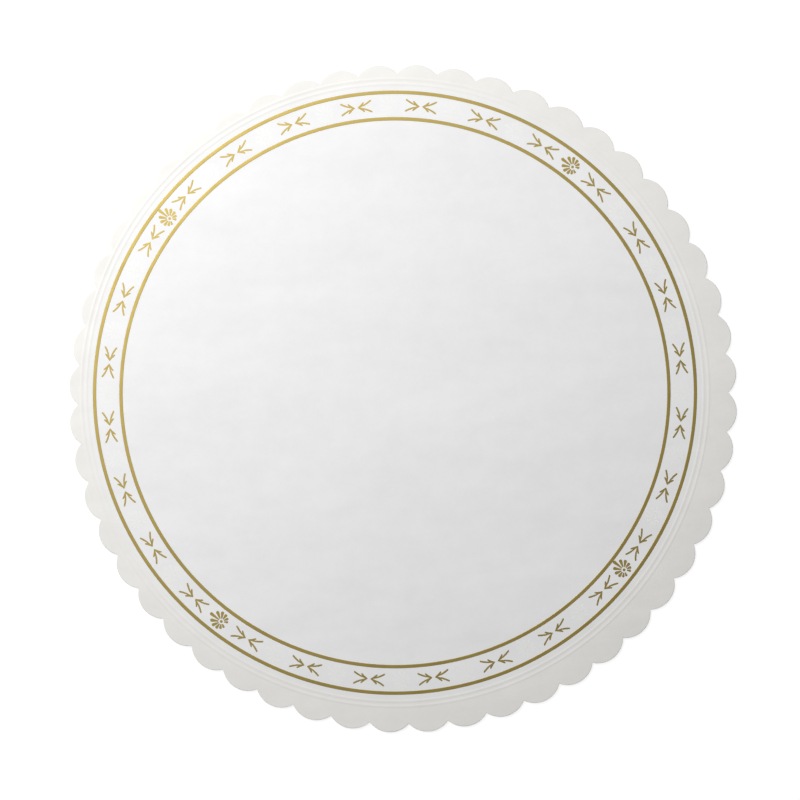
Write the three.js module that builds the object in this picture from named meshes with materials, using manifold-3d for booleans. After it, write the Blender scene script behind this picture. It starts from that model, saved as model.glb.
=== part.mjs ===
// A round cake board. It is one sheet of white card, die-cut with a scalloped edge, with two raised
// beads embossed round its top and a gilt border stamped into it: two rings and, between them,
// pairs of facing sprigs and four daisies.
// Millimetres, +Z up. The origin is the middle of the underside, and the board lies flat.

import * as THREE from "three";
import { mergeVertices, toCreasedNormals } from "three/addons/utils/BufferGeometryUtils.js";
import Module from "manifold-3d";

const wasm = await Module();
wasm.setup();

const { degToRad } = THREE.MathUtils;

// The card, measured across opposite scallop tips.
const boardDiameter = 300;
const boardThickness = 1.5;
const edgeChamfer = 0.3;

// The scallops: how many in a quarter turn, how deep from tip to cusp, and where the first tip points.
const scallopsPerQuarter = 13;
const scallopDepth = 3.9;
const firstTipAngle = degToRad(4.5);
const segmentsPerScallop = 8;

// Beads and gilding share one centre, which lies off the middle of the die-cut card.
const printShiftX = -3.6;
const printShiftY = 2.6;

// The gilt rings, to the middle of their lines.
const ringMargin = 15.1;
const ringSpacing = 11.9;
const ringLineWidth = 1.55;
const foilDepth = 0.12;

// The two embossed beads, outside the rings.
const beadClearance = 3.7;
const beadPitch = 2.3;
const beadWidth = 1.8;
const beadHeight = 0.08;

// The daisies, one in each quarter. The eye lies off the middle of the flower, the first petal is
// long, and the place opposite it is bare.
const firstDaisyAngle = degToRad(52.3);
const daisyRadius = 4.1;
const daisyPetals = 12;
const barePetal = 6;
const longPetalAngle = degToRad(142);
const longPetalExtra = 1.1;
const petalWidth = 1.2;
const petalRootWidth = 0.4;
const petalRootRadius = 1.4;
const eyeRadius = 0.58;
const eyeShift = 1.1;

// The sprigs, in facing pairs, with seven pairs from one daisy to the next. The space between a daisy
// and the pairs beside it is wide at one daisy and narrow at the next, by turns.
const sprigPairsPerQuarter = 7;
const wideStandoff = 15;
const narrowStandoff = 13;
const sprigLength = 6.6;
const sprigHeight = 5.8;
const sprigTipGap = 1;

// Steps round a full circle, on the rings and beads and on a daisy's eye.
const circleSegments = 130;
const eyeSegments = 8;
const petalTipSegments = 5;

// How far a cutter stands over the face that it cuts, and a raised form is rooted under it.
const overlap = 0.5;
const quarters = 4;
const creaseAngle = degToRad(25);

const boardRadius = boardDiameter / 2;
const cuspRadius = boardRadius - scallopDepth;
const outerRingRadius = boardRadius - ringMargin;
const innerRingRadius = outerRingRadius - ringSpacing;
const bandRadius = (outerRingRadius + innerRingRadius) / 2;
const foilFloor = boardThickness - foilDepth;

// Half of a sprig's outline beside its axis, as shares of its length and of half its height: along
// the barb, back to the crotch, out to the end of the long stem and home along its inner edge.
const sprigHalf = [
  [0.43, 0.8],
  [0.5, 0.7],
  [0.41, 0.36],
  [0.93, 1],
  [1, 0.92],
  [0.97, 0.75],
  [0.5, 0.2],
  [0.36, 0.13],
];
const sprigHollow = 0.19;

const cardMaterial = new THREE.MeshStandardMaterial({ color: 0xf1f0ec, roughness: 0.55, metalness: 0 });
const foilMaterial = new THREE.MeshStandardMaterial({ color: 0xb9a24e, roughness: 0.3, metalness: 1 });

// A point at a radius and an angle about a centre.
function polar(radius, angle, centreX = 0, centreY = 0) {
  return new THREE.Vector2(
    centreX + radius * Math.cos(angle),
    centreY + radius * Math.sin(angle),
  );
}

// A closed geometry as a solid that can be joined and cut.
function solidOf(geometry) {
  const bare = geometry.index ? geometry.toNonIndexed() : geometry.clone();
  bare.deleteAttribute("normal");
  bare.deleteAttribute("uv");
  const merged = mergeVertices(bare);
  const mesh = new wasm.Mesh({
    numProp: 3,
    vertProperties: merged.attributes.position.array,
    triVerts: new Uint32Array(merged.index.array),
  });
  return new wasm.Manifold(mesh);
}

// A flat shape raised from one height to another.
function slab(points, bottom, top) {
  const geometry = new THREE.ExtrudeGeometry(new THREE.Shape(points), {
    depth: top - bottom,
    bevelEnabled: false,
  });
  return geometry.translate(0, 0, bottom);
}

// The scalloped outline, drawn a little inside the card's edge by the inset. Each scallop is one arc
// through its tip and its two cusps.
function scallopedOutline(inset) {
  const count = quarters * scallopsPerQuarter;
  const step = (2 * Math.PI) / count;
  const halfChord = cuspRadius * Math.sin(step / 2);
  const rise = boardRadius - cuspRadius * Math.cos(step / 2);
  const arcRadius = (halfChord ** 2 + rise ** 2) / (2 * rise);
  const arcCentreRadius = boardRadius - arcRadius;
  const insetRadius = arcRadius - inset;
  // The inset arcs of two neighbours meet on the line from the board's middle to their cusp.
  const centreToCuspLine = arcCentreRadius * Math.sin(step / 2);
  const halfSweep = Math.acos(centreToCuspLine / insetRadius) - step / 2;
  const halfArc = Math.PI / 2 - halfSweep;
  const points = [];
  for (let scallop = 0; scallop < count; scallop++) {
    const tipAngle = firstTipAngle + scallop * step;
    const centre = polar(arcCentreRadius, tipAngle);
    for (let i = 0; i < segmentsPerScallop; i++) {
      const turn = halfArc * ((2 * i) / segmentsPerScallop - 1);
      points.push(polar(insetRadius, tipAngle + turn, centre.x, centre.y));
    }
  }
  return points;
}

// A ring about the print's centre, swept from a closed section of radius and height pairs.
function sweptRing(section) {
  const profile = section.map(([radius, height]) => new THREE.Vector2(radius, height));
  profile.push(profile[0].clone());
  return new THREE.LatheGeometry(profile, circleSegments)
    .rotateX(Math.PI / 2)
    .translate(printShiftX, printShiftY, 0);
}

// The line of a gilt ring, stamped down from above the board's top.
function ringStamp(radius) {
  const inner = radius - ringLineWidth / 2;
  const outer = radius + ringLineWidth / 2;
  const top = boardThickness + overlap;
  return sweptRing([
    [inner, foilFloor],
    [outer, foilFloor],
    [outer, top],
    [inner, top],
  ]);
}

// An embossed bead, rooted in the card.
function bead(radius) {
  const root = boardThickness - overlap;
  return sweptRing([
    [radius - beadWidth / 2, root],
    [radius + beadWidth / 2, root],
    [radius + beadWidth / 2, boardThickness],
    [radius, boardThickness + beadHeight],
    [radius - beadWidth / 2, boardThickness],
  ]);
}

// The die-cut card, with the upper edge eased by a chamfer and the lower one left sharp.
function cutCard() {
  const blank = new THREE.ExtrudeGeometry(new THREE.Shape(scallopedOutline(0)), {
    depth: boardThickness - edgeChamfer,
    bevelEnabled: true,
    bevelThickness: edgeChamfer,
    bevelSize: edgeChamfer,
    bevelOffset: -edgeChamfer,
    bevelSegments: 1,
  });
  const below = new THREE.BoxGeometry(2 * boardDiameter, 2 * boardDiameter, 2 * edgeChamfer)
    .translate(0, 0, -edgeChamfer);
  return solidOf(blank).subtract(solidOf(below));
}

// Both beads, trimmed by the die where they come near the cusps.
function trimmedBeads() {
  const first = outerRingRadius + beadClearance;
  const beads = solidOf(bead(first)).add(solidOf(bead(first + beadPitch)));
  const trim = slab(scallopedOutline(edgeChamfer), 0, boardThickness + overlap);
  return beads.intersect(solidOf(trim));
}

// One sprig, its tip at the origin and its stems opening along +X.
function sprigPoints() {
  const half = (side) =>
    sprigHalf.map(
      ([along, across]) => new THREE.Vector2(along * sprigLength, (side * across * sprigHeight) / 2),
    );
  const tip = new THREE.Vector2(0, 0);
  const hollow = new THREE.Vector2(sprigHollow * sprigLength, 0);
  return [tip, ...half(-1), hollow, ...half(1).reverse()];
}

// One petal: a drop that widens from a narrow root to a round tip.
function petalPoints(length) {
  const tipRadius = petalWidth / 2;
  const tipCentre = length - tipRadius;
  const taper = Math.atan2(tipRadius - petalRootWidth / 2, tipCentre - petalRootRadius);
  const lean = Math.PI / 2 - taper;
  const points = [
    new THREE.Vector2(petalRootRadius, petalRootWidth / 2),
    new THREE.Vector2(petalRootRadius, -petalRootWidth / 2),
  ];
  for (let i = 0; i <= petalTipSegments; i++) {
    const turn = (Math.PI - lean) * ((2 * i) / petalTipSegments - 1);
    points.push(polar(tipRadius, turn, tipCentre, 0));
  }
  return points;
}

// The reach of a petal from the eye, by its turn from the long petal: its tip lies on a circle about
// the flower's middle, and only the long petal goes past it.
function petalLength(turn) {
  const offAxis = eyeShift * Math.sin(turn);
  const onCircle = eyeShift * Math.cos(turn) + Math.sqrt(daisyRadius ** 2 - offAxis ** 2);
  return turn === 0 ? onCircle + longPetalExtra : onCircle;
}

// Stamps of one daisy with the middle of its flower at a point. All daisies are turned alike.
function daisyStamps(middle) {
  const top = boardThickness + overlap;
  const eye = polar(eyeShift, longPetalAngle + Math.PI, middle.x, middle.y);
  const stamps = [
    new THREE.CylinderGeometry(eyeRadius, eyeRadius, top - foilFloor, eyeSegments)
      .rotateX(Math.PI / 2)
      .translate(eye.x, eye.y, (top + foilFloor) / 2),
  ];
  for (let petal = 0; petal < daisyPetals; petal++) {
    if (petal === barePetal) continue;
    const turn = (petal * 2 * Math.PI) / daisyPetals;
    stamps.push(
      slab(petalPoints(petalLength(turn)), foilFloor, top)
        .rotateZ(longPetalAngle + turn)
        .translate(eye.x, eye.y, 0),
    );
  }
  return stamps;
}

// Stamps of two facing sprigs, lying along the band at an angle about the print's centre.
function sprigPairStamps(angle) {
  const middle = polar(bandRadius, angle, printShiftX, printShiftY);
  return [1, -1].map((side) =>
    slab(sprigPoints(), foilFloor, boardThickness + overlap)
      .translate(sprigTipGap / 2, 0, 0)
      .rotateZ(angle + (side * Math.PI) / 2)
      .translate(middle.x, middle.y, 0),
  );
}

// Every gilt stamp of the border.
function foilStamps() {
  const stamps = [ringStamp(outerRingRadius), ringStamp(innerRingRadius)];
  const standoffs = [wideStandoff / bandRadius, narrowStandoff / bandRadius];
  for (let quarter = 0; quarter < quarters; quarter++) {
    const daisyAngle = firstDaisyAngle + (quarter * Math.PI) / 2;
    stamps.push(...daisyStamps(polar(bandRadius, daisyAngle, printShiftX, printShiftY)));
    const first = daisyAngle + standoffs[quarter % 2];
    const last = daisyAngle + Math.PI / 2 - standoffs[(quarter + 1) % 2];
    for (let pair = 0; pair < sprigPairsPerQuarter; pair++) {
      const share = pair / (sprigPairsPerQuarter - 1);
      stamps.push(...sprigPairStamps(THREE.MathUtils.lerp(first, last, share)));
    }
  }
  return stamps;
}

// The finished board as a mesh, with the gilt floors and walls of the stamps in the foil's material.
function cakeBoard() {
  const stamps = foilStamps()
    .map(solidOf)
    .reduce((joined, stamp) => joined.add(stamp))
    .asOriginal();
  const cut = cutCard().add(trimmedBeads()).subtract(stamps).getMesh();
  const geometry = new THREE.BufferGeometry();
  geometry.setAttribute("position", new THREE.BufferAttribute(cut.vertProperties, 3));
  geometry.setIndex(new THREE.BufferAttribute(cut.triVerts, 1));
  cut.runOriginalID.forEach((id, run) => {
    const start = cut.runIndex[run];
    geometry.addGroup(start, cut.runIndex[run + 1] - start, id === stamps.originalID() ? 1 : 0);
  });
  const board = new THREE.Mesh(toCreasedNormals(geometry, creaseAngle), [cardMaterial, foilMaterial]);
  board.name = "cake_board";
  return board;
}

const model = new THREE.Group();
model.add(cakeBoard());

export default model;
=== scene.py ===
# A round cake card with a scalloped edge, seen from straight above on a white table: white card with
# two embossed beads, a gilt border of rings, sprigs and daisies, and faint pearl daisies between.
# Metres, +Z up. The origin is the middle of the card's underside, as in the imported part.

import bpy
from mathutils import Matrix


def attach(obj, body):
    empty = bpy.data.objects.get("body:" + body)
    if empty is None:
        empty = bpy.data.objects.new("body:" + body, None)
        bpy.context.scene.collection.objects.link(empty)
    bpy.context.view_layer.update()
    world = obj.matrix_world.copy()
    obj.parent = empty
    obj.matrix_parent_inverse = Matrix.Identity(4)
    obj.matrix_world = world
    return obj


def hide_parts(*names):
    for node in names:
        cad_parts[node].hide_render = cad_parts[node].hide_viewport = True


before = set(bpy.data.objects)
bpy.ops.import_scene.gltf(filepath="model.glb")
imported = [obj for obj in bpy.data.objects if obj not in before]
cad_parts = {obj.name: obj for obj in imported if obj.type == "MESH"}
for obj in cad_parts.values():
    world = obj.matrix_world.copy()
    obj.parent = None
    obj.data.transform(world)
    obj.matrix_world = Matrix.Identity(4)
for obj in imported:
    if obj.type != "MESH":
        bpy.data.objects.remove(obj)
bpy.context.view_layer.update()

import math
from functools import partial

import bmesh
import bpy
from mathutils import Vector

MM = 0.001
QUARTERS = 4

# The card: its scallops, from tip to cusp, and its thickness without the beads.
TIP_RADIUS = 150 * MM
CUSP_RADIUS = 146.1 * MM
SCALLOPS = 52
FIRST_TIP = math.radians(4.5)
STEPS_PER_SCALLOP = 16
CARD_TOP = 1.5 * MM
EDGE_ROUND = 0.3 * MM

# The die presses the margin down a little, the more the wider it is.
MARGIN_DROP = 0.2 * MM
WIDEST_MARGIN = 12.5 * MM

# Beads and printing share one middle, which lies off the middle of the cut card.
PRINT_MIDDLE = Vector((-3.6, 2.6, 0)) * MM

# The two embossed beads.
FIRST_BEAD = 138.6 * MM
BEAD_PITCH = 2.3 * MM
LAST_BEAD = FIRST_BEAD + BEAD_PITCH
BEAD_WIDTH = 1.8 * MM
BEAD_HEIGHT = 0.08 * MM
BEAD_STEPS = 8

# The gilt rings and the band between them.
OUTER_RING = 134.9 * MM
INNER_RING = 123.0 * MM
BAND_RADIUS = (OUTER_RING + INNER_RING) / 2
LINE_WIDTH = 1.55 * MM
LINE_STEPS = 720
FOIL_PROUD = 0.02 * MM
FOIL_ROOT = 0.03 * MM
FOIL_CROWN = 0.006 * MM

# Where the sprigs and daisies stand on the band.
FIRST_DAISY = math.radians(52.3)
PAIRS_PER_QUARTER = 7
WIDE_STANDOFF = 15 * MM
NARROW_STANDOFF = 13 * MM

# The two sizes of a sprig, and the clear space between the tips of a facing pair.
SPRIG_LENGTH = 6.6 * MM
SPRIG_HEIGHT = 5.8 * MM
SPRIG_TIP_GAP = 1.0 * MM
SPRIG_ROUNDING = 0.22 * MM

# A daisy: the eye lies off the middle, one petal is long, and the place opposite it is bare.
DAISY_RADIUS = 4.1 * MM
DAISY_PETALS = 12
BARE_PETAL = 6
LONG_PETAL = math.radians(142)
LONG_PETAL_EXTRA = 1.1 * MM
PETAL_WIDTH = 1.5 * MM
PETAL_SLIMNESS = 0.37
PETAL_ROOT_WIDTH = 0.5 * MM
PETAL_ROOT = 1.3 * MM
EYE_RADIUS = 0.65 * MM
EYE_SHIFT = 1.1 * MM

# The photograph: its width in pixels, the pixel at the middle of the card and the scale, with the
# camera's lens and sensor in millimetres.
PHOTO_PIXELS = 800
CARD_PIXEL = (403, 398.5)
METRES_PER_PIXEL = 0.449 * MM
LENS = 100
SENSOR = 36

# The studio: a square softbox, its power in watts, and the grey of the room round it.
SOFTBOX_SIZE = 0.65
SOFTBOX_PLACE = Vector((-0.42, 0.46, 0.68))
SOFTBOX_AIM = Vector((0, 0.3, 0))
SOFTBOX_POWER = 8.75
ROOM_GREY = 0.25


def add(tree, kind, inputs=None, **settings):
    """A new node, with its settings made and its inputs joined to sockets or given plain values."""
    made = tree.nodes.new(kind)
    for name, value in settings.items():
        setattr(made, name, value)
    for key, value in (inputs or {}).items():
        if isinstance(value, bpy.types.NodeSocket):
            tree.links.new(value, made.inputs[key])
        else:
            made.inputs[key].default_value = value
    return made


def arithmetic(tree, operation, *values):
    """The result of one step of arithmetic on numbers."""
    return add(tree, "ShaderNodeMath", dict(enumerate(values)), operation=operation).outputs[0]


def vector_arithmetic(tree, operation, *values):
    """The result of one step of arithmetic on points."""
    made = add(tree, "ShaderNodeVectorMath", dict(enumerate(values)), operation=operation)
    return made.outputs["Value" if operation == "LENGTH" else "Vector"]


def new_pattern(name, sizes):
    """An empty geometry tree with a shape and a finish going in, and the named sizes."""
    tree = bpy.data.node_groups.new(name, "GeometryNodeTree")
    tree.interface.new_socket("Geometry", in_out="INPUT", socket_type="NodeSocketGeometry")
    for size, kind in sizes.items():
        tree.interface.new_socket(size, in_out="INPUT", socket_type="NodeSocket" + kind)
    tree.interface.new_socket("Finish", in_out="INPUT", socket_type="NodeSocketMaterial")
    tree.interface.new_socket("Geometry", in_out="OUTPUT", socket_type="NodeSocketGeometry")
    return tree, tree.nodes.new("NodeGroupInput").outputs


def close_pattern(tree, geometry, finish):
    """Makes the copies real and gives them their finish, at the end of a tree."""
    real = add(tree, "GeometryNodeRealizeInstances", {"Geometry": geometry})
    finished = add(
        tree, "GeometryNodeSetMaterial", {"Geometry": real.outputs[0], "Material": finish}
    )
    add(tree, "NodeGroupOutput", {0: finished.outputs[0]})


def rounded_section_card():
    """The tree that sweeps the card's half section round its scalloped outline. A section point is
    its reach from the print's middle, its inset from the cut edge, and its height."""
    tree, given = new_pattern(
        "card swept round scallops",
        {
            "Scallops": "Int",
            "Steps per scallop": "Int",
            "First tip": "Float",
            "Tip radius": "Float",
            "Cusp radius": "Float",
            "Print middle": "Vector",
            "First bead": "Float",
            "Bead pitch": "Float",
            "Bead width": "Float",
            "Bead height": "Float",
            "Margin drop": "Float",
            "Widest margin": "Float",
            "Card top": "Float",
        },
    )
    step = partial(arithmetic, tree)

    section = given["Geometry"]
    section_size = add(tree, "GeometryNodeAttributeDomainSize", {0: section}).outputs["Point Count"]
    rays = step("MULTIPLY", given["Scallops"], given["Steps per scallop"])
    grid = add(
        tree,
        "GeometryNodeMeshGrid",
        {"Vertices X": step("ADD", rays, 1.0), "Vertices Y": section_size},
    )
    index = add(tree, "GeometryNodeInputIndex").outputs[0]
    ray = step("FLOOR", step("DIVIDE", step("ADD", index, 0.5), section_size))
    place = step("SUBTRACT", index, step("MULTIPLY", ray, section_size))
    point = add(
        tree,
        "GeometryNodeSampleIndex",
        {
            "Geometry": section,
            "Value": add(tree, "GeometryNodeInputPosition").outputs[0],
            "Index": place,
        },
        data_type="FLOAT_VECTOR",
    ).outputs[0]
    parts = add(tree, "ShaderNodeSeparateXYZ", {0: point}).outputs

    # Each scallop is one arc through its tip and its two cusps.
    pitch = step("DIVIDE", math.tau, given["Scallops"])
    half_pitch = step("MULTIPLY", pitch, 0.5)
    half_chord = step("MULTIPLY", given["Cusp radius"], step("SINE", half_pitch))
    chord_reach = step("MULTIPLY", given["Cusp radius"], step("COSINE", half_pitch))
    rise = step("SUBTRACT", given["Tip radius"], chord_reach)
    squares = step("ADD", step("POWER", half_chord, 2.0), step("POWER", rise, 2.0))
    arc_radius = step("DIVIDE", squares, step("MULTIPLY", rise, 2.0))
    arc_middle = step("SUBTRACT", given["Tip radius"], arc_radius)
    turn = step("DIVIDE", step("MULTIPLY", ray, pitch), given["Steps per scallop"])
    from_tip = step("PINGPONG", turn, half_pitch)
    off_axis = step("MULTIPLY", arc_middle, step("SINE", from_tip))
    on_axis = step("MULTIPLY", arc_middle, step("COSINE", from_tip))
    left = step("SUBTRACT", step("POWER", arc_radius, 2.0), step("POWER", off_axis, 2.0))
    edge_radius = step("ADD", on_axis, step("SQRT", left))
    angle = step("ADD", turn, given["First tip"])
    edge = add(
        tree,
        "ShaderNodeCombineXYZ",
        {
            0: step("MULTIPLY", edge_radius, step("COSINE", angle)),
            1: step("MULTIPLY", edge_radius, step("SINE", angle)),
        },
    ).outputs[0]

    # The section point lies on the line from the print's middle to the edge point.
    outwards = vector_arithmetic(tree, "SUBTRACT", edge, given["Print middle"])
    full_reach = vector_arithmetic(tree, "LENGTH", outwards)
    reach = step("MINIMUM", parts["X"], step("SUBTRACT", full_reach, parts["Y"]))
    scaled = add(
        tree,
        "ShaderNodeVectorMath",
        {0: outwards, "Scale": step("DIVIDE", reach, full_reach)},
        operation="SCALE",
    ).outputs[0]
    flat = vector_arithmetic(tree, "ADD", scaled, given["Print middle"])

    # The beads stand up from the top, the margin sinks outside them, and both fade out down the edge.
    last_bead = step("ADD", given["First bead"], given["Bead pitch"])
    half_bead = step("MULTIPLY", given["Bead width"], 0.5)
    beads = 0.0
    for middle in (given["First bead"], last_bead):
        off_middle = step("ABSOLUTE", step("SUBTRACT", reach, middle))
        across = step("MINIMUM", step("DIVIDE", off_middle, half_bead), 1.0)
        swell = step("COSINE", step("MULTIPLY", across, math.pi))
        beads = step("ADD", beads, step("MULTIPLY", step("ADD", swell, 1.0), 0.5))
    past_beads = step("SUBTRACT", reach, step("ADD", last_bead, half_bead))
    out = step("DIVIDE", step("MAXIMUM", past_beads, 0.0), given["Widest margin"])
    sunk = step("MULTIPLY", step("POWER", out, 2.0), given["Margin drop"])
    relief = step("SUBTRACT", step("MULTIPLY", beads, given["Bead height"]), sunk)
    share = step("DIVIDE", parts["Z"], given["Card top"])
    height = step("ADD", parts["Z"], step("MULTIPLY", relief, share))
    lifted = vector_arithmetic(
        tree, "ADD", flat, add(tree, "ShaderNodeCombineXYZ", {2: height}).outputs[0]
    )
    placed = add(
        tree, "GeometryNodeSetPosition", {"Geometry": grid.outputs[0], "Position": lifted}
    )
    weld = 0.001 * MM
    merged = add(
        tree, "GeometryNodeMergeByDistance", {"Geometry": placed.outputs[0], "Distance": weld}
    )
    smooth = add(tree, "GeometryNodeSetShadeSmooth", {"Geometry": merged.outputs[0]})
    close_pattern(tree, smooth.outputs[0], given["Finish"])
    return tree


def rings_about_print():
    """The tree that sweeps a line's section round the print's middle, once for each ring."""
    radii = {"Outer ring": "Float", "Inner ring": "Float"}
    tree, given = new_pattern(
        "gilt lines swept round", {"Print middle": "Vector", "Steps": "Int", **radii}
    )
    section = add(tree, "GeometryNodeMeshToCurve", {0: given["Geometry"]}).outputs[0]
    joined = add(tree, "GeometryNodeJoinGeometry")
    for radius in radii:
        rail = add(
            tree,
            "GeometryNodeCurvePrimitiveCircle",
            {"Resolution": given["Steps"], "Radius": given[radius]},
        )
        ring = add(
            tree, "GeometryNodeCurveToMesh", {"Curve": rail.outputs[0], "Profile Curve": section}
        )
        tree.links.new(ring.outputs[0], joined.inputs[0])
    moved = add(
        tree,
        "GeometryNodeTransform",
        {"Geometry": joined.outputs[0], "Translation": given["Print middle"]},
    )
    close_pattern(tree, moved.outputs[0], given["Finish"])
    return tree


def stamps_along_band():
    """The tree that sets copies of a stamp along the band. From one daisy to the next they are spaced
    evenly, after a standoff that is wide at one daisy and narrow at the next, by turns."""
    tree, given = new_pattern(
        "stamps set along the band",
        {
            "Print middle": "Vector",
            "Band radius": "Float",
            "First daisy": "Float",
            "Wide standoff": "Float",
            "Narrow standoff": "Float",
            "Per quarter": "Int",
            "First share": "Float",
            "Share step": "Float",
            "Turned with the band": "Float",
        },
    )
    step = partial(arithmetic, tree)

    quarter_turn = math.tau / QUARTERS
    index = add(tree, "GeometryNodeInputIndex").outputs[0]
    quarter = step("FLOOR", step("DIVIDE", step("ADD", index, 0.5), given["Per quarter"]))
    place = step("SUBTRACT", index, step("MULTIPLY", quarter, given["Per quarter"]))
    odd = step("MODULO", quarter, 2.0)
    even = step("SUBTRACT", 1.0, odd)
    wide = step("DIVIDE", given["Wide standoff"], given["Band radius"])
    narrow = step("DIVIDE", given["Narrow standoff"], given["Band radius"])
    lead = step("ADD", step("MULTIPLY", wide, even), step("MULTIPLY", narrow, odd))
    tail = step("ADD", step("MULTIPLY", wide, odd), step("MULTIPLY", narrow, even))
    daisy = step("ADD", given["First daisy"], step("MULTIPLY", quarter, quarter_turn))
    run = step("SUBTRACT", quarter_turn, step("ADD", lead, tail))
    share = step("ADD", given["First share"], step("MULTIPLY", place, given["Share step"]))
    angle = step("ADD", step("ADD", daisy, lead), step("MULTIPLY", share, run))
    spoke = add(
        tree,
        "ShaderNodeCombineXYZ",
        {
            0: step("MULTIPLY", given["Band radius"], step("COSINE", angle)),
            1: step("MULTIPLY", given["Band radius"], step("SINE", angle)),
        },
    ).outputs[0]
    stands = add(
        tree,
        "GeometryNodePoints",
        {
            "Count": step("MULTIPLY", given["Per quarter"], float(QUARTERS)),
            "Position": vector_arithmetic(tree, "ADD", spoke, given["Print middle"]),
        },
    )
    turn = add(
        tree,
        "ShaderNodeCombineXYZ",
        {2: step("MULTIPLY", angle, given["Turned with the band"])},
    ).outputs[0]
    copies = add(
        tree,
        "GeometryNodeInstanceOnPoints",
        {
            "Points": stands.outputs[0],
            "Instance": given["Geometry"],
            "Rotation": add(tree, "FunctionNodeEulerToRotation", {0: turn}).outputs[0],
        },
    )
    close_pattern(tree, copies.outputs[0], given["Finish"])
    return tree


def grown(name, start, tree, sizes, finish):
    """A plain mesh piece, grown by a tree from the shape that it starts with."""
    source = bpy.data.objects.new(name + "_start", start)
    bpy.context.collection.objects.link(source)
    modifier = source.modifiers.new("growth", "NODES")
    modifier.node_group = tree
    names = {item.name: item.identifier for item in tree.interface.items_tree if item.in_out == "INPUT"}
    for size, value in {**sizes, "Finish": finish}.items():
        modifier[names[size]] = value
    bpy.context.view_layer.update()
    evaluated = source.evaluated_get(bpy.context.evaluated_depsgraph_get())
    mesh = bpy.data.meshes.new_from_object(evaluated)
    bpy.data.objects.remove(source)
    work = bmesh.new()
    work.from_mesh(mesh)
    bmesh.ops.recalc_face_normals(work, faces=work.faces)
    work.to_mesh(mesh)
    work.free()
    mesh.name = name
    piece = bpy.data.objects.new(name, mesh)
    bpy.context.collection.objects.link(piece)
    return piece


def polyline(name, points, closed=False):
    """A line of edges through points."""
    mesh = bpy.data.meshes.new(name)
    edges = [(i, i + 1) for i in range(len(points) - 1)]
    if closed:
        edges.append((len(points) - 1, 0))
    mesh.from_pydata(points, edges, [])
    return mesh


def slabs(name, outlines):
    """Thin closed stamps, one for each flat outline, rooted in the card and a little proud of it."""
    work = bmesh.new()
    for outline in outlines:
        low = [work.verts.new((x, y, CARD_TOP - FOIL_ROOT)) for x, y in outline]
        high = [work.verts.new((x, y, CARD_TOP + FOIL_PROUD)) for x, y in outline]
        work.faces.new(reversed(low))
        work.faces.new(high)
        for i in range(len(outline)):
            after = (i + 1) % len(outline)
            work.faces.new((low[i], low[after], high[after], high[i]))
    mesh = bpy.data.meshes.new(name)
    work.to_mesh(mesh)
    work.free()
    return mesh


def turned(points, angle, x=0.0, y=0.0):
    """Flat points turned about the origin, then moved."""
    c, s = math.cos(angle), math.sin(angle)
    return [(x + c * px - s * py, y + s * px + c * py) for px, py in points]


def eased(points, radius, steps=3):
    """A closed flat outline with each corner eased by a short curve, which takes less than half of
    the sides that it joins."""
    most = 0.45
    outline = []
    for i, corner in enumerate(points):
        here = Vector(corner)
        before = Vector(points[i - 1])
        after = Vector(points[(i + 1) % len(points)])
        start = here + (before - here) * min(most, radius / (before - here).length)
        end = here + (after - here) * min(most, radius / (after - here).length)
        for k in range(steps + 1):
            t = k / steps
            outline.append(tuple(start * (1 - t) ** 2 + here * 2 * t * (1 - t) + end * t ** 2))
    return outline


def card_section():
    """The half section of the card, from the middle of its top to the middle of its underside."""
    past_edge = 2 * TIP_RADIUS
    reaches = [TIP_RADIUS * share for share in (0, 0.1, 0.25, 0.4, 0.55, 0.7, 0.8)]
    reaches += [INNER_RING, BAND_RADIUS, OUTER_RING]
    bead_step = BEAD_WIDTH / BEAD_STEPS
    span = LAST_BEAD - FIRST_BEAD + 2 * BEAD_WIDTH
    reaches += [FIRST_BEAD - BEAD_WIDTH + bead_step * i for i in range(round(span / bead_step) + 1)]
    margin_step = 1.5 * MM
    margin_steps = 8
    reaches += [LAST_BEAD + BEAD_WIDTH + margin_step * (i + 1) for i in range(margin_steps)]

    # Where the margin is narrow, the inset holds the points apart that would lie past the edge.
    inset_step = 0.02 * MM
    count = len(reaches)
    points = [
        (reach, EDGE_ROUND + inset_step * (count - i), CARD_TOP) for i, reach in enumerate(reaches)
    ]
    round_steps = 5
    for i in range(round_steps + 1):
        turn = math.pi / 2 * i / round_steps
        inset = EDGE_ROUND * (1 - math.sin(turn))
        points.append((past_edge, inset, CARD_TOP - EDGE_ROUND * (1 - math.cos(turn))))
    foot = 0.06 * MM
    points += [(past_edge, 0, CARD_TOP / 2), (past_edge, 0, foot), (past_edge, foot, 0)]
    points += [(TIP_RADIUS * share, EDGE_ROUND, 0) for share in (0.94, 0.8, 0.6, 0.35, 0.15, 0)]
    return polyline("card section", points)


def line_section():
    """The section of a gilt line, with a low crown across it. It lies on its back, because the sweep
    turns it over."""
    half = LINE_WIDTH / 2
    top = CARD_TOP + FOIL_PROUD
    root = CARD_TOP - FOIL_ROOT
    crown = [(half * t, top - FOIL_CROWN * t ** 2) for t in (1, 0.85, 0.5, 0, -0.5, -0.85, -1)]
    outline = [(-half, root), (half, root)] + crown
    return polyline("line section", [(x, -y, 0) for x, y in outline], closed=True)


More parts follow.
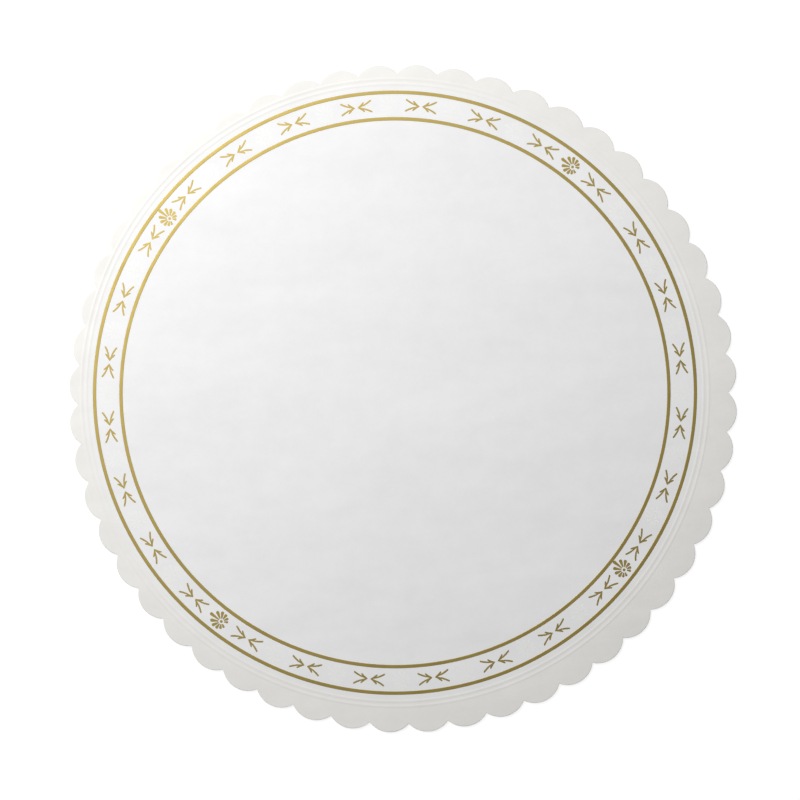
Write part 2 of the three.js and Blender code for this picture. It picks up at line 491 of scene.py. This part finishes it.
def sprig_outline():
    """One sprig, with its tip at the origin and its stems opening along +X: out along a barb, back to
    the crotch, and along a stem to its end, on each side of the axis."""
    half = [
        (0.22, 0.37),
        (0.43, 0.8),
        (0.5, 0.7),
        (0.41, 0.36),
        (0.7, 0.7),
        (0.93, 1.0),
        (1.0, 0.93),
        (0.97, 0.75),
        (0.74, 0.44),
        (0.5, 0.2),
        (0.36, 0.13),
    ]
    side = [(along * SPRIG_LENGTH, across * SPRIG_HEIGHT / 2) for along, across in half]
    mirrored = [(x, -y) for x, y in side]
    hollow = (0.19 * SPRIG_LENGTH, 0)
    return eased([(0, 0)] + mirrored + [hollow] + side[::-1], SPRIG_ROUNDING)


def facing_sprigs():
    """A pair of sprigs, tip to tip, lying along Y."""
    sprig = [(x + SPRIG_TIP_GAP / 2, y) for x, y in sprig_outline()]
    return slabs("facing sprigs", [turned(sprig, side * math.pi / 2) for side in (1, -1)])


def round_outline(radius, steps=24):
    """A flat circle of points."""
    turns = [math.tau * i / steps for i in range(steps)]
    return [(radius * math.cos(turn), radius * math.sin(turn)) for turn in turns]


def petal_outline(length):
    """One petal, widening from a narrow root to a round tip. A short petal is slimmer, so that it stays
    clear of the next."""
    tip = min(PETAL_WIDTH, PETAL_SLIMNESS * length) / 2
    root = PETAL_ROOT_WIDTH / 2
    tip_middle = length - tip
    lean = math.acos((tip - root) / (tip_middle - PETAL_ROOT))
    points = [(PETAL_ROOT, root), (PETAL_ROOT - 0.35 * root, 0), (PETAL_ROOT, -root)]
    steps = 12
    for i in range(steps + 1):
        turn = lean * (2 * i / steps - 1)
        points.append((tip_middle + tip * math.cos(turn), tip * math.sin(turn)))
    return points


def daisy():
    """A daisy round its middle: an eye and its petals, whose tips lie on a circle but for the long
    petal's."""
    eye_x, eye_y = (-EYE_SHIFT * math.cos(LONG_PETAL), -EYE_SHIFT * math.sin(LONG_PETAL))
    outlines = [turned(round_outline(EYE_RADIUS), 0, eye_x, eye_y)]
    for petal in range(DAISY_PETALS):
        if petal == BARE_PETAL:
            continue
        turn = petal * math.tau / DAISY_PETALS
        off_axis = EYE_SHIFT * math.sin(turn)
        length = EYE_SHIFT * math.cos(turn) + math.sqrt(DAISY_RADIUS ** 2 - off_axis ** 2)
        if petal == 0:
            length += LONG_PETAL_EXTRA
        outlines.append(turned(petal_outline(length), LONG_PETAL + turn, eye_x, eye_y))
    return slabs("daisy", outlines)


def new_finish(name, **values):
    """A material with one shader, whose plain values are set on its own sockets."""
    finish = bpy.data.materials.new(name)
    finish.use_nodes = True
    tree = finish.node_tree
    shader = tree.nodes["Principled BSDF"]
    for socket, value in values.items():
        shader.inputs[socket.replace("_", " ")].default_value = value
    return finish, tree, shader


def cloudiness(tree, places, scale, detail=2.0, roughness=0.5):
    """Soft noise from 0 to 1 over the places given."""
    return add(
        tree,
        "ShaderNodeTexNoise",
        {"Vector": places, "Scale": scale, "Detail": detail, "Roughness": roughness},
    ).outputs["Fac"]


def ranged(tree, value, given, wanted):
    """A value carried smoothly from the range that it is given in to the one that is wanted."""
    return add(
        tree,
        "ShaderNodeMapRange",
        {
            "Value": value,
            "From Min": given[0],
            "From Max": given[1],
            "To Min": wanted[0],
            "To Max": wanted[1],
        },
        interpolation_type="SMOOTHSTEP",
    ).outputs["Result"]


def blended(tree, share, first, second):
    """Two colours mixed by a share of the second."""
    made = add(tree, "ShaderNodeMix", {0: share, 6: first, 7: second}, data_type="RGBA")
    return made.outputs[2]


def white_card():
    """Coated white card: a fine tooth, faint clouds, a warmer margin outside the beads, and the
    greyer core where the edge is cut."""
    finish, tree, shader = new_finish("white card", Roughness=0.5)
    places = add(tree, "ShaderNodeTexCoord").outputs["Object"]
    parts = add(tree, "ShaderNodeSeparateXYZ", {0: places}).outputs
    from_print = add(
        tree, "ShaderNodeMapping", {"Vector": places, "Location": -PRINT_MIDDLE}
    ).outputs[0]
    flat = add(
        tree, "ShaderNodeVectorMath", {0: from_print, 1: (1, 1, 0)}, operation="MULTIPLY"
    ).outputs[0]
    reach = vector_arithmetic(tree, "LENGTH", flat)

    clouds = cloudiness(tree, places, scale=70.0, detail=6.0, roughness=0.8)
    mottle = ranged(tree, clouds, (0.3, 0.7), (0.0, 1.0))
    middle = blended(tree, mottle, (0.858, 0.858, 0.858, 1), (0.888, 0.888, 0.888, 1))
    margin = blended(tree, mottle, (0.852, 0.839, 0.802, 1), (0.882, 0.870, 0.835, 1))
    outside = ranged(tree, reach, (OUTER_RING, LAST_BEAD), (0.0, 1.0))
    face = blended(tree, outside, middle, margin)
    fibres = cloudiness(tree, places, scale=1500.0, detail=4.0, roughness=0.6)
    core = blended(tree, fibres, (0.60, 0.585, 0.54, 1), (0.72, 0.705, 0.66, 1))
    skin_depths = (CARD_TOP - 1.2 * EDGE_ROUND, CARD_TOP - 0.7 * EDGE_ROUND)
    skin = ranged(tree, parts["Z"], skin_depths, (0.0, 1.0))
    tree.links.new(blended(tree, skin, core, face), shader.inputs["Base Color"])

    # Slow swells that run a little across the card, with a fine tooth over them.
    across = add(
        tree,
        "ShaderNodeMapping",
        {"Vector": places, "Rotation": (0, 0, math.radians(-20)), "Scale": (1, 2.2, 1)},
    ).outputs[0]
    swells = add(
        tree,
        "ShaderNodeBump",
        {
            "Strength": 1.0,
            "Distance": 2.0 * MM,
            "Height": cloudiness(tree, across, scale=9.0, detail=3.5, roughness=0.45),
        },
    )
    tooth = add(
        tree,
        "ShaderNodeBump",
        {
            "Strength": 0.6,
            "Distance": 0.035 * MM,
            "Height": cloudiness(tree, places, scale=450.0, detail=4.0, roughness=0.65),
            "Normal": swells.outputs[0],
        },
    )
    tree.links.new(tooth.outputs[0], shader.inputs["Normal"])
    return finish


def gilt_foil():
    """Stamped gold foil: metal with a soft gloss that varies a little, over the card's tooth."""
    finish, tree, shader = new_finish("gilt foil", Metallic=1.0)
    places = add(tree, "ShaderNodeTexCoord").outputs["Object"]
    patches = cloudiness(tree, places, scale=90.0)
    colour = blended(tree, patches, (0.44, 0.335, 0.1, 1), (0.49, 0.38, 0.122, 1))
    tree.links.new(colour, shader.inputs["Base Color"])
    gloss = ranged(tree, cloudiness(tree, places, scale=140.0), (0.25, 0.75), (0.49, 0.55))
    tree.links.new(gloss, shader.inputs["Roughness"])
    tooth = cloudiness(tree, places, scale=1400.0, detail=3.0, roughness=0.6)
    bump = add(tree, "ShaderNodeBump", {"Strength": 0.15, "Distance": 0.02 * MM, "Height": tooth})
    tree.links.new(bump.outputs[0], shader.inputs["Normal"])
    return finish


def pearl_print():
    """Pearl varnish, a little lighter and smoother than the card under it."""
    finish, tree, shader = new_finish("pearl print", Roughness=0.34)
    places = add(tree, "ShaderNodeTexCoord").outputs["Object"]
    clouds = cloudiness(tree, places, scale=300.0)
    colour = blended(tree, clouds, (0.887, 0.885, 0.873, 1), (0.915, 0.912, 0.898, 1))
    tree.links.new(colour, shader.inputs["Base Color"])
    tooth = cloudiness(tree, places, scale=900.0, detail=3.0)
    bump = add(tree, "ShaderNodeBump", {"Strength": 0.2, "Distance": 0.03 * MM, "Height": tooth})
    tree.links.new(bump.outputs[0], shader.inputs["Normal"])
    return finish


def white_table():
    """The finish of the floor: it keeps the card's shadow, and shows white to the camera, in metal
    and through glass. The glow makes up what the lit grey falls short of white."""
    grey = 0.3
    glow_to_white = 0.82
    finish, tree, shader = new_finish(
        "white table",
        Base_Color=(grey, grey, grey, 1),
        Roughness=0.9,
        Emission_Color=(1, 1, 1, 1),
    )
    rays = add(tree, "ShaderNodeLightPath").outputs
    seen = arithmetic(
        tree,
        "MAXIMUM",
        rays["Is Camera Ray"],
        arithmetic(tree, "MAXIMUM", rays["Is Glossy Ray"], rays["Is Transmission Ray"]),
    )
    glow = arithmetic(tree, "MULTIPLY", seen, glow_to_white)
    tree.links.new(glow, shader.inputs["Emission Strength"])
    return finish


def build_floor():
    """A wide floor that curves up into a low wall all round."""
    inner_radius = 1.0
    floor_radius = 3.0
    wall_radius = 0.8
    wall_steps = 8
    sides = 96
    clearance = 0.01 * MM
    profile = [(0.0, 0.0), (inner_radius, 0.0), (floor_radius, 0.0)]
    for i in range(1, wall_steps + 1):
        turn = math.pi / 2 * i / wall_steps
        profile.append(
            (floor_radius + wall_radius * math.sin(turn), wall_radius * (1 - math.cos(turn)))
        )
    work = bmesh.new()
    line = [work.verts.new((radius, 0, height - clearance)) for radius, height in profile]
    edges = [work.edges.new(pair) for pair in zip(line, line[1:])]
    bmesh.ops.spin(
        work, geom=line + edges, cent=(0, 0, 0), axis=(0, 0, 1), angle=math.tau, steps=sides
    )
    bmesh.ops.remove_doubles(work, verts=work.verts, dist=clearance)
    bmesh.ops.recalc_face_normals(work, faces=work.faces)
    mesh = bpy.data.meshes.new("floor")
    work.to_mesh(mesh)
    work.free()
    mesh.shade_smooth()
    mesh.materials.append(white_table())
    floor = bpy.data.objects.new("floor", mesh)
    bpy.context.collection.objects.link(floor)


def build_lights():
    """A large softbox high at the upper left, turned a little past the card so that its light falls
    off towards the lower left, and an even room."""
    lamp = bpy.data.lights.new("softbox", "AREA")
    lamp.shape = "SQUARE"
    lamp.size = SOFTBOX_SIZE
    lamp.energy = SOFTBOX_POWER
    softbox = bpy.data.objects.new("softbox", lamp)
    softbox.location = SOFTBOX_PLACE
    softbox.rotation_mode = "QUATERNION"
    softbox.rotation_quaternion = (SOFTBOX_AIM - SOFTBOX_PLACE).to_track_quat("-Z", "Y")
    bpy.context.collection.objects.link(softbox)
    room = bpy.data.worlds.new("room")
    room.use_nodes = True
    background = room.node_tree.nodes["Background"]
    background.inputs["Color"].default_value = (ROOM_GREY, ROOM_GREY, ROOM_GREY, 1)
    bpy.context.scene.world = room


def build_camera():
    """The camera, looking straight down with the top of the photograph towards +Y."""
    middle = PHOTO_PIXELS / 2
    eye = bpy.data.cameras.new("camera")
    eye.lens = LENS
    eye.sensor_width = SENSOR
    camera = bpy.data.objects.new("camera", eye)
    camera.location = (
        (middle - CARD_PIXEL[0]) * METRES_PER_PIXEL,
        (CARD_PIXEL[1] - middle) * METRES_PER_PIXEL,
        CARD_TOP + PHOTO_PIXELS * METRES_PER_PIXEL * LENS / SENSOR,
    )
    bpy.context.collection.objects.link(camera)
    bpy.context.scene.camera = camera


def build_card():
    """The white card with its beads, in place of the plain solid."""
    card = grown(
        "card",
        card_section(),
        rounded_section_card(),
        {
            "Scallops": SCALLOPS,
            "Steps per scallop": STEPS_PER_SCALLOP,
            "First tip": FIRST_TIP,
            "Tip radius": TIP_RADIUS,
            "Cusp radius": CUSP_RADIUS,
            "Print middle": PRINT_MIDDLE,
            "First bead": FIRST_BEAD,
            "Bead pitch": BEAD_PITCH,
            "Bead width": BEAD_WIDTH,
            "Bead height": BEAD_HEIGHT,
            "Margin drop": MARGIN_DROP,
            "Widest margin": WIDEST_MARGIN,
            "Card top": CARD_TOP,
        },
        white_card(),
    )
    crease = math.radians(40)
    card.data.set_sharp_from_angle(angle=crease)
    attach(card, "root")
    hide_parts("cake_board")


def build_border():
    """The gilt lines, sprigs and daisies, and the pearl daisies in the gaps between the sprigs."""
    gilt = gilt_foil()
    pearl = pearl_print()
    lines = grown(
        "gilt_rings",
        line_section(),
        rings_about_print(),
        {
            "Print middle": PRINT_MIDDLE,
            "Steps": LINE_STEPS,
            "Outer ring": OUTER_RING,
            "Inner ring": INNER_RING,
        },
        gilt,
    )
    band = {
        "Print middle": PRINT_MIDDLE,
        "Band radius": BAND_RADIUS,
        "First daisy": FIRST_DAISY,
        "Wide standoff": WIDE_STANDOFF,
        "Narrow standoff": NARROW_STANDOFF,
    }
    gaps = PAIRS_PER_QUARTER - 1
    even_step = {"Share step": 1 / gaps}
    pairs = {**band, **even_step, "Per quarter": PAIRS_PER_QUARTER, "Turned with the band": 1.0}
    at_gaps = {**band, **even_step, "Per quarter": gaps, "First share": 0.5 / gaps}
    at_daisies = {**band, "Wide standoff": 0.0, "Narrow standoff": 0.0, "Per quarter": 1}
    stamps = stamps_along_band()
    sprigs = grown("gilt_sprigs", facing_sprigs(), stamps, pairs, gilt)
    gilt_daisies = grown("gilt_daisies", daisy(), stamps, at_daisies, gilt)
    pearl_daisies = grown("pearl_daisies", daisy(), stamps, at_gaps, pearl)
    slots = ((lines, "foil"), (sprigs, "foil"), (gilt_daisies, "foil"), (pearl_daisies, "card"))
    for piece, slot in slots:
        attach(piece, "root")


bpy.context.scene.view_settings.view_transform = "Standard"
build_camera()
build_card()
build_border()
build_floor()
build_lights()
